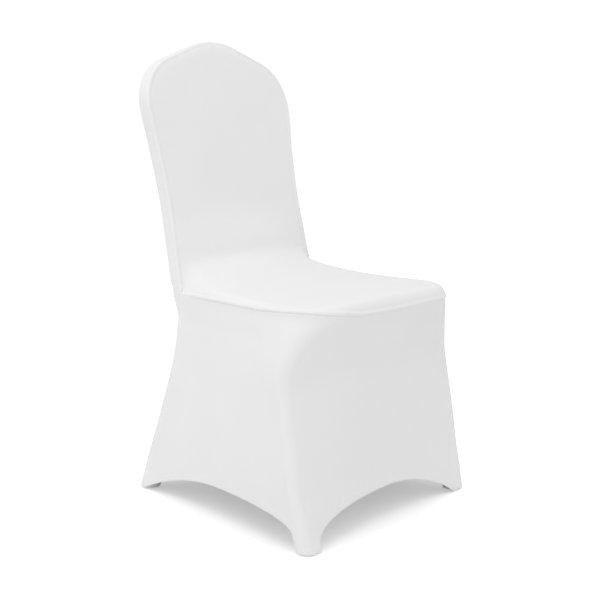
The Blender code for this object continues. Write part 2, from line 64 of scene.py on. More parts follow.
BEND_TOP_PULL = 0.052
BEND_END_PULL = 0.258
BEND_SWELL = 0.024
BEND_SWELL_SPAN = 0.15
SEAT_SWELL = 0.0045
EDGE_WIDTH = 0.022
BEND_EDGE_WIDTH = 0.024
BEND_EDGE_SPAN = 0.10
BEND_RAMP = 1.0
BEND_SMOOTHING = 500
EDGE_SMOOTHING = 30
BEND_SMOOTH_SPAN = 0.20
SEAT_FRONT_Y = -0.238
LIFT_STEP = 0.004
SWELL_BLEND = 0.10
SWELL_HALF_WIDTH = 0.19
JOIN_Z = 0.4155
FOOT_HEM_Z = 0.0024

# How far the taut faces between the legs draw in, less than 0 where they stand out: z, side, front, rear.
DRAW = np.array((
    (0.000, 0.0060, 0.0060, 0.0080),
    (0.100, 0.0060, 0.0010, 0.0020),
    (0.200, 0.0060, -0.0100, -0.0080),
    (0.300, 0.0060, -0.0240, -0.0140),
    (0.340, 0.0050, -0.0240, -0.0120),
    (0.370, 0.0030, -0.0180, -0.0080),
    (0.391, 0.0015, -0.0080, -0.0020),
    (0.419, 0.0000, 0.0000, 0.0000),
))

# The back by height: z, half_width, front_y.
BACK = np.array((
    (0.400, 0.1915, 0.143),
    (0.440, 0.1900, 0.153),
    (0.480, 0.1876, 0.163),
    (0.550, 0.1842, 0.180),
    (0.600, 0.1835, 0.191),
    (0.700, 0.1887, 0.213),
    (0.788, 0.1962, 0.231),
    (0.930, 0.1962, 0.264),
))

# The cover below the seat: z, front_x, front_y, front_radius, rear_x, rear_y, rear_radius.
LOWER = np.array((
    (0.000, 0.2195, -0.2260, 0.0205, 0.2115, 0.2360, 0.0205),
    (0.050, 0.2240, -0.2165, 0.0185, 0.2068, 0.2250, 0.0190),
    (0.100, 0.2270, -0.2055, 0.0175, 0.2021, 0.2090, 0.0185),
    (0.150, 0.2285, -0.1970, 0.0170, 0.1974, 0.1925, 0.0185),
    (0.200, 0.2275, -0.1885, 0.0170, 0.1928, 0.1770, 0.0185),
    (0.250, 0.2260, -0.1795, 0.0170, 0.1881, 0.1620, 0.0185),
    (0.300, 0.2240, -0.1715, 0.0180, 0.1834, 0.1507, 0.0185),
    (0.340, 0.2120, -0.1710, 0.0250, 0.1800, 0.1457, 0.0185),
    (0.370, 0.1910, -0.1700, 0.0380, 0.1775, 0.1450, 0.0175),
    (0.391, 0.1655, -0.1640, 0.0580, 0.1777, 0.1532, 0.0161),
    (0.419, 0.1325, -0.1530, 0.0850, 0.1782, 0.1668, 0.0133),
    (0.460, 0.1325, -0.1530, 0.0850, 0.1770, 0.1795, 0.0120),
))

# The seam between the rear and the skirt: z, run. The seam round the seat: way, right_z, left_z.
REAR_SEAM = np.array((
    (0.000, 0.0070),
    (0.330, 0.0065),
    (0.365, 0.0130),
    (0.390, 0.0260),
    (JOIN_Z, 0.0340),
    (0.440, 0.0340),
))
SEAT_SEAM = np.array((
    (0.00, JOIN_Z, JOIN_Z),
    (0.24, 0.4186, 0.4186),
    (0.42, 0.4198, 0.4160),
    (0.60, 0.4262, 0.4070),
    (0.74, 0.4184, 0.4092),
    (0.84, 0.4112, 0.4094),
    (1.00, 0.4086, 0.4086),
))

# The arched hems: top_z, half_span, steepness.
HEMS = {
    "side_front": (0.0613, 0.2180, 0.15),
    "side_rear": (0.0613, 0.2300, 0.90),
    "front_right": (0.0655, 0.2065, 0.35),
    "front_left": (0.0655, 0.1970, 0.90),
    "rear": (0.0600, 0.1950, 0.50),
}

# The foot pockets. POCKET_RIM is how far the top edge rounds down, and POCKET_WALL_Z is where the wall's rows
# start outside and inside. The sole has the insets of its rings outside and inside, and its edge as inset, z.
POCKET_Z = 0.042
POCKET_CLEARANCE = 0.0016
POCKET_SIDES = 48
POCKET_CLOTH = 0.0012
POCKET_RIM = 0.0004
POCKET_WALL_Z = (0.007, 0.005)
POCKET_WALL_ROWS = 12
SOLE_OUTSIDE = (0.0188, 0.0150, 0.0100, 0.0070)
SOLE_INSIDE = (0.0090, 0.0130, 0.0170, 0.0188)
SOLE_MIDDLE_RADIUS = 0.0005
SOLE_EDGE = (
    (0.0046, 0.0), (0.0030, 0.0002), (0.0016, 0.0008),
    (0.0006, 0.0018), (0.0001, 0.0030), (0.0, 0.0045),
)
POCKETS = (
    ("foot_pocket_fr", -1, "front"),
    ("foot_pocket_fl", 1, "front"),
    ("foot_pocket_rr", -1, "rear"),
    ("foot_pocket_rl", 1, "rear"),
)

# The real knit: its thickness, the folded hem, and the seams, which dip where two pieces meet. The hems and
# all that is near them lie below HEM_LIMIT.
KNIT = 0.0010
HEM_WIDTH = 0.0125
HEM_STEP = 0.0012
HEM_RAISE = 0.0003
HEM_FOLD = 0.0006
HEM_EDGE_ROUNDING = 0.0003
HEM_EDGE_WIDTH = 0.0008
HEM_LIMIT = 0.12
SEAM_DIP = 0.0007
SEAM_OFFSETS = (0.0, 0.0008, 0.0016, 0.0030)
CORD_ROWS = (
    (0.0008, 0.0007), (0.0018, 0.0014), (0.0032, 0.0020), (0.0048, 0.0020),
    (0.0064, 0.0014), (0.0078, 0.0005), (0.0090, -0.0002), (0.0106, 0.0000),
)
UNEVENNESS = 0.0004
UNEVEN_SPAN = 0.075
CREASE_FADE = 1.6

# Soft creases of the skirt, on its right and its left: way round from the front corner (more than 0 on the
# front) and z of both ends, height (less than 0 in a trough), half_width.
CREASES_RIGHT = np.array((
    (-0.001, 0.350, 0.006, 0.268, -0.0016, 0.0065),
    (0.044, 0.380, 0.040, 0.304, 0.0024, 0.020),
    (0.012, 0.150, 0.020, 0.020, -0.0016, 0.0075),
    (-0.020, 0.120, -0.040, 0.035, -0.0006, 0.009),
    (-0.060, 0.130, -0.110, 0.070, 0.0005, 0.014),
    (0.045, 0.140, 0.085, 0.075, 0.0005, 0.012),
))
CREASES_LEFT = np.array((
    (0.014, 0.150, 0.036, 0.035, -0.0009, 0.009),
    (0.040, 0.120, 0.075, 0.055, 0.0006, 0.012),
    (-0.018, 0.110, -0.038, 0.035, -0.0006, 0.009),
))

# Rows and columns, in metres where they are offsets and otherwise as shares of their side.
BACK_FRACTIONS = tuple(np.linspace(0, 1, 86))
UPPER_ROWS = np.linspace(0, 1, 72)[1:]
HEM_OFFSETS = (
    0.0150, 0.0138, 0.0130, 0.0122, 0.0110, 0.0095, 0.0080,
    0.0065, 0.0050, 0.0035, 0.0020, 0.0010, 0.0004, 0.0,
)
BAND_COLUMNS = 14
CORNER_COLUMNS = 12
REAR_CORNER_SPAN = 0.012
REAR_CORNER_FRACTIONS = (0.0, 0.07, 0.14, 0.26, 0.50, 0.75)
SIDE_FRACTIONS = tuple(np.linspace(0, 0.90, 52)) + tuple(np.linspace(0.90, 1, 22)[1:])
FRONT_FRACTIONS = tuple(np.linspace(0, 0.12, 15)) + tuple(np.linspace(0.12, 1, 34)[1:])
RING_COLUMNS = 9
SIDE_STEPS = 160
BAND_STEPS = 32
PROFILE_OVERRUN = 0.01
PROFILE_BACK_POINTS = 120
PROFILE_BEND_POINTS = 121
PROFILE_SEAT_POINTS = 40
PROFILE_STEPS = 2000
EDGE_STEPS = 49

# Stitches of the hems: their distance from the edge, pitch, length and thread. A stitch is rings of thread,
# each with its place along the stitch and its size, and its ends sink into the knit.
STITCH_ROWS = (0.0085, 0.0105)
STITCH_PITCH = 0.0032
STITCH_LENGTH = 0.0024
STITCH_RINGS = ((-0.5, 0.25), (-0.42, 0.8), (-0.2, 1.0), (0.2, 1.0), (0.42, 0.8), (0.5, 0.25))
STITCH_SINK = 1.4
THREAD_RADIUS = 0.00022
THREAD_SIDES = 6
STEP_AHEAD = 0.0005

# The sheets as cut: width, length. The knit's shades, and its look: the wale is the width of a column of
# loops, a course its height as a share of that, and the loops swing and rise as shares of their waves.
SHEET_CUTS = {"inner_panel": (0.47, 0.98), "outer_panel": (0.48, 0.94), "skirt": (1.42, 0.44)}
POCKET_CUT_RADIUS = 0.02
SHEET_SHADES = {"inner_panel": 0.84, "outer_panel": 0.835, "skirt": 0.835}
POCKET_SHADE = 0.82
THREAD_SHADE = 0.85
KNIT_ROUGHNESS = 0.72
KNIT_SPECULAR = 0.35
KNIT_SHEEN = 0.12
KNIT_SHEEN_ROUGHNESS = 0.45
WALE = 0.00075
THREAD_WALE = 0.0003
COURSE_SHARE = 0.8
LOOP_SWING = 0.9
COURSE_RISE = 0.35
RELIEF_STRENGTH = 0.6
RELIEF_DEPTH = 0.00004
THREAD_DEPTH = 0.00002
BLOTCH_SCALE = 9.0
BLOTCH_DETAIL = 3.0
BLOTCH_SHARE = 0.03
LOOP_SHARE = 0.006
SHARP_ANGLE = radians(50)

# The photograph's view
CAMERA_PLACE = (-1.4006, -1.3662, 0.7463)
CAMERA_YAW = radians(46.1244)
CAMERA_PITCH = radians(10.1331)
CAMERA_LENS = 58.25
CAMERA_SENSOR = 36.0

# The studio: the floor, and daylight that grows to the left and upward
FLOOR_REACH = 9.0
FLOOR_Z = -0.0005
FLOOR_SHADE = 0.90
FLOOR_ROUGHNESS = 0.9
FLOOR_SPECULAR = 0.2
FLOOR_GLOW = 0.32
BACKDROP = 1.05
WHITE = (1.0, 1.0, 1.0, 1.0)
DAYLIGHT = 0.82
DAYLIGHT_LEFT = 0.13
DAYLIGHT_ABOVE = 0.10
LAMP_PLACE = (-1.20, -0.35, 3.60)
LAMP_AIM = (0.0, 0.0, 0.45)
LAMP_SIZE = (2.4, 2.0)
LAMP_WATTS = 22.0


def read(table, place):
    """Values of a table at a place in its first column, on a smooth curve that never overshoots its rows."""
    keys, values = table[:, 0], table[:, 1:]
    steps = np.diff(keys)[:, None]
    slopes = np.diff(values, axis=0) / steps
    tangents = np.zeros_like(values)
    tangents[0], tangents[-1] = slopes[0], slopes[-1]
    before, after = slopes[:-1], slopes[1:]
    same_way = before * after > 0
    safe_sum = np.where(same_way, before + after, 1.0)
    tangents[1:-1] = np.where(same_way, 2 * before * after / safe_sum, 0.0)
    place = min(max(place, keys[0]), keys[-1])
    row = min(int(np.searchsorted(keys, place, side="right")) - 1, len(keys) - 2)
    t = (place - keys[row]) / (keys[row + 1] - keys[row])
    start = (2 * t**3 - 3 * t**2 + 1) * values[row] + (t**3 - 2 * t**2 + t) * steps[row] * tangents[row]
    end = (3 * t**2 - 2 * t**3) * values[row + 1] + (t**3 - t**2) * steps[row] * tangents[row + 1]
    return start + end


def along(points, fractions):
    """Points at fractions of the length of a polyline."""
    points = np.asarray(points, dtype=float)
    run = way_along(points)
    targets = np.asarray(fractions) * run[-1]
    return np.column_stack([np.interp(targets, run, points[:, axis]) for axis in range(points.shape[1])])


def way_along(points):
    """The distance along a polyline at each of its points."""
    return np.concatenate(([0.0], np.cumsum(np.linalg.norm(np.diff(points, axis=0), axis=1))))


def unit(vector):
    """The vector at a length of 1."""
    return vector / max(np.linalg.norm(vector), 1e-9)


# The cover below the seat

def section(z):
    """The half section at a height: the centres and radii of its round corners and the way its side faces."""
    front_x, front_y, front_r, rear_x, rear_y, rear_r = read(LOWER, z)
    front, rear = np.array((front_x, front_y)), np.array((rear_x, rear_y))
    forward = front - rear
    length = hypot(*forward)
    forward /= length
    outward = np.array((-forward[1], forward[0]))
    turn = (rear_r - front_r) / length
    facing = forward * turn + outward * sqrt(1 - turn**2)
    return {"front": front, "front_r": front_r, "rear": rear, "rear_r": rear_r, "facing": facing,
            "angle": atan2(facing[1], facing[0]), "side_length": length * sqrt(1 - turn**2)}


def round_rear(z, run):
    """A point at a run round the rear corner, from the flat rear face on to the side."""
    cut = section(z)
    arc = cut["rear_r"] * (pi / 2 - cut["angle"])
    if run < arc:
        angle = pi / 2 - run / cut["rear_r"]
        x, y = cut["rear"] + cut["rear_r"] * np.array((cos(angle), sin(angle)))
        return np.array((x, y, z))
    return on_side(z, (run - arc) / cut["side_length"])


def on_side(z, fraction):
    """A point on the side face, from the rear corner at 0 to the front corner at 1."""
    cut = section(z)
    start = cut["rear"] + cut["rear_r"] * cut["facing"]
    end = cut["front"] + cut["front_r"] * cut["facing"]
    depth = read(DRAW, z)[0] * 4 * fraction * (1 - fraction)
    x, y = start + (end - start) * fraction - cut["facing"] * depth
    return np.array((x, y, z))


def on_front(z, fraction):
    """A point on the front face, from the corner at 0 to the middle at 1."""
    cut = section(z)
    x = cut["front"][0] * (1 - fraction)
    depth = read(DRAW, z)[1] * fraction * (2 - fraction)
    return np.array((x, cut["front"][1] - cut["front_r"] + depth, z))


def on_front_corner(z, fraction):
    """A point on the round front corner, from the side face at 0 to the front face at 1."""
    cut = section(z)
    angle = cut["angle"] * (1 - fraction) - pi / 2 * fraction
    x, y = cut["front"] + cut["front_r"] * np.array((cos(angle), sin(angle)))
    return np.array((x, y, z))


def skirt_point(column, z):
    """A point of the half skirt. Its columns run from the rear seam round the side to the front's middle."""
    kind, value = column
    if kind == "front":
        return on_front(z, value)
    if kind == "front_corner":
        return on_front_corner(z, value)
    cut = section(z)
    seam = read(REAR_SEAM, z)[0]
    arc = cut["rear_r"] * (pi / 2 - cut["angle"])
    corner_end = max(arc, seam + REAR_CORNER_SPAN)
    if kind == "rear_corner":
        return round_rear(z, seam + (corner_end - seam) * value)
    begin = (corner_end - arc) / cut["side_length"]
    return on_side(z, begin + (1 - begin) * value)


COLUMNS = [("rear_corner", fraction) for fraction in REAR_CORNER_FRACTIONS]
COLUMNS += [("side", fraction) for fraction in SIDE_FRACTIONS]
COLUMNS += [("front_corner", k / (2 * CORNER_COLUMNS)) for k in range(1, 2 * CORNER_COLUMNS)]
COLUMNS += [("front", fraction) for fraction in FRONT_FRACTIONS]
COLUMNS_WIDE = CORNER_COLUMNS + len(FRONT_FRACTIONS) - 1
CORNER_COLUMN = len(COLUMNS) - 1 - COLUMNS_WIDE


def arch(name, distance):
    """Height of an arched hem at a distance from the middle of its arch."""
    top, half_span, steepness = HEMS[name]
    t = min(abs(distance) / half_span, 1.0)
    return FOOT_HEM_Z + (top - FOOT_HEM_Z) * (1 - t * t) ** steepness


def hem_z(column, left):
    """Height of the hem in a column."""
    kind, value = column
    low = skirt_point(column, FOOT_HEM_Z)
    if kind == "front":
        return arch("front_left" if left else "front_right", low[0])
    if kind == "side":
        return arch("side_rear" if low[1] > 0 else "side_front", low[1])
    return FOOT_HEM_Z


def seat_seam(left):
    """The half seam round the seat, from its join with the back's seam to the middle of the front."""
    level = SEAT_SEAM[-1, 1]
    way = way_along(np.array([skirt_point(column, level) for column in COLUMNS]))
    heights = [read(SEAT_SEAM, place)[int(left)] for place in way / way[-1]]
    return np.array([skirt_point(column, z) for column, z in zip(COLUMNS, heights)])


def row_heights(top, hem):
    """Heights of the rows from a seam down to a hem, close together at both."""
    start, end = top - SEAM_OFFSETS[-1], hem + HEM_OFFSETS[0]
    heights = [top - offset for offset in SEAM_OFFSETS]
    heights += [start + (end - start) * share for share in UPPER_ROWS[:-1]]
    heights += [hem + offset for offset in HEM_OFFSETS]
    return np.array(heights)


def skirt_half(left):
    """Rows of the half skirt, from the seat's seam down to the hem."""
    top = seat_seam(left)
    heights = np.array([row_heights(point[2], hem_z(column, left)) for point, column in zip(top, COLUMNS)])
    rows = [[skirt_point(column, z) for column, z in zip(COLUMNS, row)] for row in heights.T]
    return np.array(rows)


# The back

def crown(fractions):
    """The half outline of the crown, and the side of the back down to the join, as x and z."""
    slope_z = TOP_Z + APEX_RADIUS * (1 / cos(SLOPE) - 1)
    shoulder_run = SHOULDER_RADIUS * tan((pi / 2 - SLOPE) / 2)
    shoulder_z = slope_z - SHOULDER_X * tan(SLOPE) - shoulder_run
    turns = np.linspace(0, SLOPE, APEX_STEPS + 1)
    points = [(APEX_RADIUS * sin(turn), TOP_Z - APEX_RADIUS * (1 - cos(turn))) for turn in turns]
    for angle in np.linspace(pi / 2 - SLOPE, 0, SHOULDER_STEPS + 1):
        x = SHOULDER_X - SHOULDER_RADIUS * (1 - cos(angle))
        points.append((x, shoulder_z + SHOULDER_RADIUS * sin(angle)))
    middle = APEX_STEPS + 1 + SHOULDER_STEPS // 2
    corner = np.array(points[:middle + 1])
    side = points[middle:]
    for z in np.linspace(shoulder_z, JOIN_Z, SIDE_STEPS)[1:]:
        side.append((read(BACK, z)[0], z))
    wide, tall = fractions
    return along(corner, wide), along(side, tall)


def back_outline():
    """The half seam round the front of the back, from the top of the crown down to the join."""
    over, down = crown((np.linspace(0, 1, COLUMNS_WIDE + 1), BACK_FRACTIONS))
    flat = np.vstack((over, down[1:]))
    outline = np.array([(x, read(BACK, z)[1] + FACE_DROP, z) for x, z in flat])
    outline[-1] = seat_seam(False)[0]
    return outline


def outward_normals(flat, smoothing=0):
    """Outward unit normals of a half outline given as x and a second coordinate, top first."""
    tangent = np.gradient(flat, axis=0)
    normals = np.column_stack((-tangent[:, 1], tangent[:, 0]))
    normals /= np.linalg.norm(normals, axis=1)[:, None]
    normals[0] = (0.0, 1.0)
    for _ in range(smoothing):
        normals[1:-1] = (normals[:-2] + 2 * normals[1:-1] + normals[2:]) / 4
        normals /= np.linalg.norm(normals, axis=1)[:, None]
    return normals


def patch(top, side, bottom):
    """A grid in the plane inside a top edge, a side edge and a bottom edge, with the middle line at x = 0."""
    wide, tall = len(top), len(side)
    share = (side[:, 1] - side[0, 1]) / (side[-1, 1] - side[0, 1])
    middle = np.column_stack((np.zeros(tall), top[0, 1] + (bottom[0, 1] - top[0, 1]) * share))
    across = np.linspace(0, 1, wide)[None, :, None]
    down = share[:, None, None]
    grid = (1 - down) * top[None] + down * bottom[None]
    grid = grid + (1 - across) * middle[:, None] + across * side[:, None]
    corners = ((1 - down) * (1 - across) * top[0] + (1 - down) * across * top[-1]
               + down * (1 - across) * bottom[0] + down * across * bottom[-1])
    return grid - corners


def rear_half():
    """Rows of the half rear face and, beside each of its edge points, the band round the back's thickness."""
    outline = back_outline()
    flat = outline[:, (0, 2)]
    normals = outward_normals(flat)
    normals[-1] = (1.0, 0.0)
    inset = flat - normals * REAR_ROUNDING
    low = section(JOIN_Z)
    inset[-1] = (low["rear"][0], JOIN_Z)
    top, side = inset[:COLUMNS_WIDE + 1], inset[COLUMNS_WIDE:]
    across = np.linspace(0, 1, COLUMNS_WIDE + 1)
    bottom = np.column_stack((across * side[-1, 0], np.full(COLUMNS_WIDE + 1, JOIN_Z)))
    upper = patch(top, side, bottom)
    rows = [[(x, rear_y(z), z) for x, z in row] for row in upper]
    bands = [band_round_back(outline[k], normals[k]) for k in range(len(outline) - 1)]
    bands.append(band_below(JOIN_Z))
    hems = [arch("rear", share * section(FOOT_HEM_Z)["rear"][0]) for share in across]
    heights = np.array([row_heights(JOIN_Z, hem) for hem in hems])
    for levels in heights.T[1:]:
        row = []
        for share, z in zip(across, levels):
            cut = section(z)
            draw = read(DRAW, z)[2] * (1 - share**2)
            row.append((share * cut["rear"][0], cut["rear"][1] + cut["rear_r"] - draw, z))
        rows.append(row)
        bands.append(band_below(levels[-1]))
    return np.array(rows), np.array(bands)


def rear_y(z):
    """How far back the rear face lies, which runs smoothly into the section at the join."""
    low = section(JOIN_Z)
    start = low["rear"][1] + low["rear_r"]
    blend = smooth_step((z - JOIN_Z) / REAR_BLEND)
    return start + (read(BACK, z)[1] + BACK_DEPTH - start) * blend


def band_round_back(seam_point, normal):
    """From the rear face, round its edge and forward along the side, to the seam."""
    out = np.array((normal[0], 0.0, normal[1]))
    back = np.array((0.0, 1.0, 0.0))
    centre = seam_point - out * REAR_ROUNDING
    centre[1] = rear_y(centre[2]) - REAR_ROUNDING
    turns = np.linspace(0, pi / 2, BAND_STEPS + 1)
    curve = [centre + REAR_ROUNDING * (back * cos(turn) + out * sin(turn)) for turn in turns]
    curve.append(np.array(seam_point))
    return band_points(curve)


def band_below(z):
    """From the rear face, round the corner, to the seam with the skirt."""
    run = read(REAR_SEAM, z)[0]
    return band_points([round_rear(z, run * k / BAND_STEPS) for k in range(BAND_STEPS + 1)])


def band_points(curve):
    """Points along a band's curve, close together at its seam."""
    length = way_along(np.array(curve))[-1]
    near = [1 - offset / length for offset in SEAM_OFFSETS[::-1]]
    return along(curve, list(np.linspace(0, near[0], BAND_COLUMNS)[:-1]) + near)


# The inner panel

def profile():
    """The middle line of the inner panel, from the crown down the back and forward over the seat."""
    heights = np.linspace(TOP_Z + PROFILE_OVERRUN, BEND_TOP_Z, PROFILE_BACK_POINTS)
    points = [np.array((read(BACK, z)[1], z)) for z in heights]
    start = points[-1]
    end = np.array((BEND_END_Y, SEAT_Z))
    one = start + unit(start - points[-2]) * BEND_TOP_PULL
    two = end + np.array((BEND_END_PULL, 0.0))
    for t in np.linspace(0, 1, PROFILE_BEND_POINTS)[1:]:
        before = (1 - t) ** 3 * start + 3 * t * (1 - t) ** 2 * one
        points.append(before + 3 * t**2 * (1 - t) * two + t**3 * end)
    depths = np.linspace(BEND_END_Y, SEAT_FRONT_Y - PROFILE_OVERRUN, PROFILE_SEAT_POINTS)
    points += [np.array((y, SEAT_Z)) for y in depths[1:]]
    return along(points, np.linspace(0, 1, PROFILE_STEPS))


PROFILE = profile()
PROFILE_RUN = way_along(PROFILE)
BEND_PLACE = np.array((read(BACK, SEAT_Z)[1], SEAT_Z))
BEND_RUN = PROFILE_RUN[int(np.argmin(np.linalg.norm(PROFILE - BEND_PLACE, axis=1)))]


def profile_place(point):
    """How far along the middle line a point lies."""
    place = np.asarray(point)[1:]
    near = int(np.argmin(np.linalg.norm(PROFILE - place, axis=1)))
    near = min(max(near, 1), len(PROFILE) - 2)
    line = PROFILE[near + 1] - PROFILE[near - 1]
    share = ((place - PROFILE[near]) @ line) / (line @ line)
    return PROFILE_RUN[near] + share * (PROFILE_RUN[near + 1] - PROFILE_RUN[near - 1])


def bump(place):
    """1 at 0, falling smoothly to 0 at -1 and 1."""
    return np.cos(pi * np.minimum(np.abs(place), 1.0) / 2) ** 2


def lift(x, run):
    """The surface point of the inner panel at x and a run along its middle line, with its padding's swell."""
    behind, place, ahead = [
        np.array([np.interp(run + step, PROFILE_RUN, PROFILE[:, axis]) for axis in (0, 1)])
        for step in (-LIFT_STEP, 0.0, LIFT_STEP)]
    way = unit(ahead - behind)
    facing = np.array((way[1], -way[0]))
    on_seat = smooth_step((run - BEND_RUN) / SWELL_BLEND)
    on_back = smooth_step((BEND_RUN - run) / SWELL_BLEND)
    across = max(1 - (x / SWELL_HALF_WIDTH) ** 2, 0.0)
    swell = BACK_SWELL * on_back + SEAT_SWELL * on_seat
    swell += BEND_SWELL * bump((run - BEND_RUN) / BEND_SWELL_SPAN)
    y, z = place + facing * swell * across
    return np.array((x, y, z))


def smooth_step(share):
    """0 up to 0 and 1 from 1 on, rising smoothly between them."""
    share = np.clip(share, 0.0, 1.0)
    return share * share * (3 - 2 * share)


def inner_half(left):
    """Rows of the half inner panel inside its edge, the rings from its seam to them, and both as cut."""
    outline = np.vstack((back_outline(), seat_seam(left)[1:]))
    flat = np.array([(point[0], -profile_place(point)) for point in outline])
    flat[:, 1] = smooth_at_bend(flat[:, 1])
    normals = outward_normals(flat, EDGE_SMOOTHING)
    normals[-1] = (0.0, -1.0)
    widths = EDGE_WIDTH + BEND_EDGE_WIDTH * bump((-flat[:, 1] - BEND_RUN) / BEND_EDGE_SPAN)
    inset = flat - normals * widths[:, None]
    top = inset[:COLUMNS_WIDE + 1]
    side = inset[COLUMNS_WIDE:len(inset) - COLUMNS_WIDE]
    bottom = inset[len(inset) - COLUMNS_WIDE - 1:][::-1]
    plane = patch(top, side, bottom)
    rows = np.array([[lift(x, -run) for x, run in row] for row in plane])
    edge = np.vstack((rows[0], rows[1:, -1], rows[-1, ::-1][1:]))
    rings, cut = [], []
    for seam_point, (x, run), end, inner in zip(outline, flat, edge, inset):
        over = lift(x, -run)
        ramp = BEND_RAMP * bump((-run - BEND_RUN) / BEND_EDGE_SPAN)
        ring, shares = edge_curve(seam_point, over, end, ramp)
        rings.append(ring)
        cut.append(np.array((x, run)) * (1 - shares[:, None]) + inner * shares[:, None])
    return rows, np.array(rings), plane, np.array(cut)


def smooth_at_bend(runs):
    """Runs along the edge, spread evenly where the seam turns its corner and its nearest points bunch up."""
    soft = np.array(runs)
    for _ in range(BEND_SMOOTHING):
        weight = bump((-soft[1:-1] - BEND_RUN) / BEND_SMOOTH_SPAN)
        soft[1:-1] += weight * (soft[:-2] - 2 * soft[1:-1] + soft[2:]) / 4
    return soft


def edge_curve(seam_point, over, end, ramp):
    """The rounded edge from the seam up and in to the padded surface, and how far along each point is."""
    low = over * (1 - ramp) + (seam_point + end) / 2 * ramp
    one = seam_point + (low - seam_point) * 2 / 3
    two = end + (over - end) * 2 / 3
    t = np.linspace(0, 1, EDGE_STEPS)[:, None]
    curve = (1 - t) ** 3 * seam_point + 3 * t * (1 - t) ** 2 * one + 3 * t**2 * (1 - t) * two + t**3 * end
    length = way_along(curve)[-1]
    cord = [0.0] + [distance / length for distance, _ in CORD_ROWS]
    shares = np.array(cord + list(np.linspace(cord[-1], 1, RING_COLUMNS)[1:]))
    return along(curve, shares), shares


# From half grids to whole sheets. The halves are made on the left, and the right one is mirrored.

MIRROR = np.array((-1.0, 1.0, 1.0))
MIDDLE = np.array((0.0, BOX_MIDDLE_Y, 0.0))


class Cloth:
    """The cover's surface points, each once, each piece's faces and cut, and how far points are moved out."""

    def __init__(self):
        self.points = []
        self.lookup = {}
        self.faces = {}
        self.cut = {}
        self.raised = {}
        self.moved = {}

    def add(self, point):
        key = tuple(np.round(point * 1e5).astype(int).tolist())
        if key not in self.lookup:
            self.lookup[key] = len(self.points)
            self.points.append(np.array(point, dtype=float))
        return self.lookup[key]

    def strip(self, name, rows, cut, closed=False):
        """Quads between rows of points, facing the way that the rows and columns turn."""
        indexes = [[self.add(point) for point in row] for row in rows]
        places = self.cut.setdefault(name, {})
        for row, flat in zip(indexes, cut):
            for index, place in zip(row, flat):
                places.setdefault(index, place)
        faces = self.faces.setdefault(name, [])
        for upper, lower in zip(indexes, indexes[1:]):
            count = len(upper)
            for k in range(count if closed else count - 1):
                n = (k + 1) % count
                loop = [upper[k], lower[k], lower[n], upper[n]]
                loop = [v for i, v in enumerate(loop) if v != loop[i - 1]]
                if len(loop) > 2:
                    faces.append(loop)
        return indexes


def crease_heights(grid, creases):
    """How far the creases move each point of a half skirt, and how far round from its corner the point is."""
    steps = np.linalg.norm(np.diff(grid, axis=1), axis=2)
    way = np.concatenate((np.zeros((len(grid), 1)), np.cumsum(steps, axis=1)), axis=1)
    way -= way[:, CORNER_COLUMN][:, None]
    place = np.stack((way, grid[:, :, 2]), axis=2)
    total = np.zeros(way.shape)
    for start_way, start_z, end_way, end_z, height, half_width in creases:
        start, end = np.array((start_way, start_z)), np.array((end_way, end_z))
        line = end - start
        share = ((place - start) @ line) / (line @ line)
        aside = np.linalg.norm(place - start - share[:, :, None] * line, axis=2)
        fade = bump(np.clip(2 * share - 1, -CREASE_FADE, CREASE_FADE) / CREASE_FADE)
        total += height * np.exp(-(aside / half_width) ** 2) * fade
    return total, way


def build_surface():
    """The whole cover's surface, with its creases and the cord of its raised seam."""
    cloth = Cloth()
    left, right = skirt_half(True), skirt_half(False)
    shifts_left, way_left = crease_heights(left, CREASES_LEFT)
    shifts_right, way_right = crease_heights(right, CREASES_RIGHT)
    skirt = np.concatenate((right * MIRROR, left[:, ::-1][:, 1:]), axis=1)
    middle = way_right[:, -1:]
    round_way = np.concatenate((way_right - middle, (way_left[:, -1:] - way_left)[:, ::-1][:, 1:]), axis=1)
    indexes = cloth.strip("skirt", skirt, np.dstack((round_way, skirt[:, :, 2])))
    shifts = np.concatenate((shifts_right, shifts_left[:, ::-1][:, 1:]), axis=1)
    for row, heights in zip(indexes, shifts):
        for index, height in zip(row, heights):
            cloth.moved[index] = height

    rows, bands = rear_half()
    rear = np.concatenate((rows[:, ::-1], rows[:, 1:] * MIRROR), axis=1)
    cloth.strip("outer_panel", rear, rear[:, :, (0, 2)])
    band = np.concatenate((bands[::-1] * MIRROR, bands[1:]))
    band_way = np.array([way_along(one) for one in band])
    band_cut = band[:, :1, (0, 2)] + np.dstack((band_way * np.sign(band[:, :1, 0]), np.zeros(band_way.shape)))
    cloth.strip("outer_panel", np.swapaxes(band, 0, 1), np.swapaxes(band_cut, 0, 1))

    flip = MIRROR[:2]
    rows_left, rings_left, plane_left, edge_left = inner_half(True)
    rows_right, rings_right, plane_right, edge_right = inner_half(False)
    panel = np.concatenate((rows_right[:, ::-1] * MIRROR, rows_left[:, 1:]), axis=1)
    panel_cut = np.concatenate((plane_right[:, ::-1] * flip, plane_left[:, 1:]), axis=1)
    cloth.strip("inner_panel", panel, panel_cut)
    rings = np.concatenate((rings_left, rings_right[::-1][1:-1] * MIRROR))
    edges = np.concatenate((edge_left, edge_right[::-1][1:-1] * flip))
    loops = cloth.strip("inner_panel", np.swapaxes(rings, 0, 1), np.swapaxes(edges, 0, 1), closed=True)
    for (_, height), loop in zip(CORD_ROWS, loops[1:]):
        for index in loop:
            cloth.raised[index] = height
    return cloth


